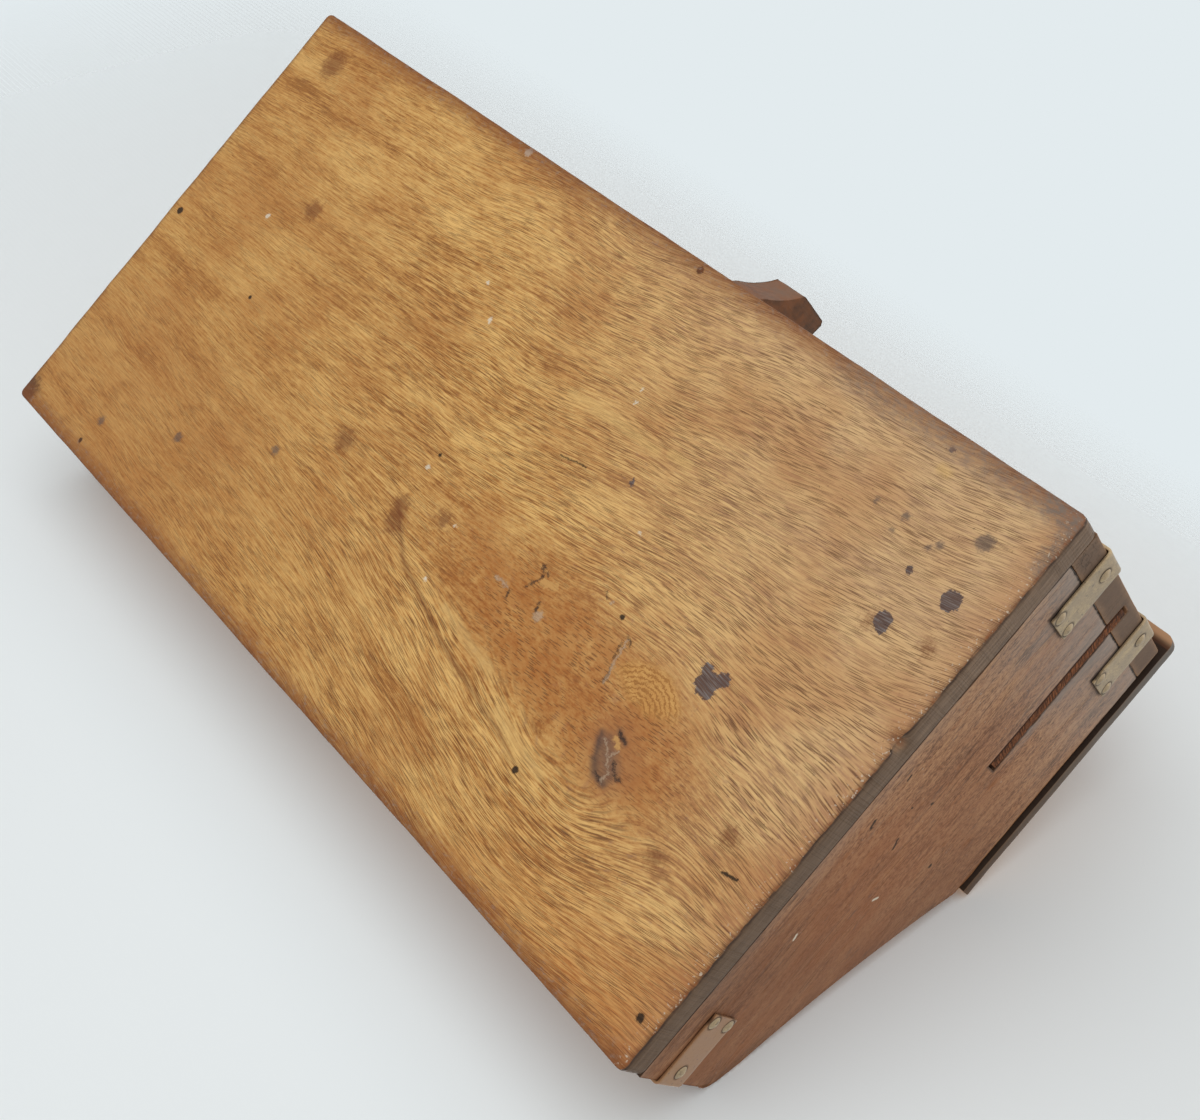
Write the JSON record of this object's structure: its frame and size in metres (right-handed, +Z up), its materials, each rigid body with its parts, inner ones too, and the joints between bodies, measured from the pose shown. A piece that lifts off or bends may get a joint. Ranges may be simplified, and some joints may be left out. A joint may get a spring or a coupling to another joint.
{
  "type": "desk letter box",
  "caption": "Slope-fronted wooden desk letter box: hinged slope lid over letter cells, hinged flat lid over a till, carved lid rest behind, brass corner straps.",
  "frame": {"origin": "centre of the base board's underside, on the surface that the box stands on", "axes": "+X along the box's length to its right end seen from the front, +Y from the low front to the tall back, +Z up"},
  "size_m": [0.3212, 0.1909, 0.1116],
  "materials": {
    "base_wood": "bare golden-brown wood, worn and stained",
    "carcass_wood": "aged grey-brown wood with dull wax polish",
    "lid_wood": "aged grey-brown wood with dull wax polish",
    "inner_wood": "unpolished red-brown wood",
    "shelf_wood": "rusty red-brown wood, sawn end grain",
    "carved_wood": "carved dark red-brown wood, hand worn",
    "strap_brass": "tarnished flat brass strip",
    "hinge_brass": "dull brass",
    "iron": "dark iron nails"
  },
  "bodies": {
    "carcass": {"base_board": "base_wood", "back_board": "carcass_wood", "front_board": "carcass_wood", "end_panel_left": "carcass_wood", "end_panel_right": "carcass_wood", "cross_rail": "carcass_wood", "shelf": "shelf_wood", "till_front": "inner_wood", "letter_divider_front": "inner_wood", "letter_divider_rear": "inner_wood", "lid_rest": "carved_wood", "top_hinge_left_box_leaf": "hinge_brass", "top_hinge_left_pin": "hinge_brass", "top_hinge_right_box_leaf": "hinge_brass", "top_hinge_right_pin": "hinge_brass", "slope_hinge_left_rail_leaf": "hinge_brass", "slope_hinge_left_pin": "hinge_brass", "slope_hinge_right_rail_leaf": "hinge_brass", "slope_hinge_right_pin": "hinge_brass", "strap_back_lower_left": "strap_brass", "strap_back_upper_left": "strap_brass", "strap_front_left": "strap_brass", "strap_back_lower_right": "strap_brass", "strap_back_upper_right": "strap_brass", "strap_front_right": "strap_brass", "strap_pins": "strap_brass", "base_nails": "iron", "lid_rest_nails": "iron", "top_hinge_box_screws": "hinge_brass", "slope_hinge_rail_screws": "hinge_brass"},
    "flat_lid": {"top_lid": "lid_wood", "top_hinge_left_lid_leaf": "hinge_brass", "top_hinge_right_lid_leaf": "hinge_brass", "top_hinge_lid_screws": "hinge_brass"},
    "slope_lid_body": {"slope_lid": "lid_wood", "slope_hinge_left_lid_leaf": "hinge_brass", "slope_hinge_right_lid_leaf": "hinge_brass", "slope_hinge_lid_screws": "hinge_brass"}
  },
  "joints": [
    {"name": "flat_lid_hinge", "type": "hinge", "parent": "carcass", "child": "flat_lid", "pos_m": [0, 0.0908, 0.105], "axis": [-1, 0, 0], "range_deg": [0, 172]},
    {"name": "slope_lid_hinge", "type": "hinge", "parent": "carcass", "child": "slope_lid_body", "pos_m": [0, -0.01054, 0.10353], "axis": [-1, 0, 0], "range_deg": [0, 135]}
  ]
}
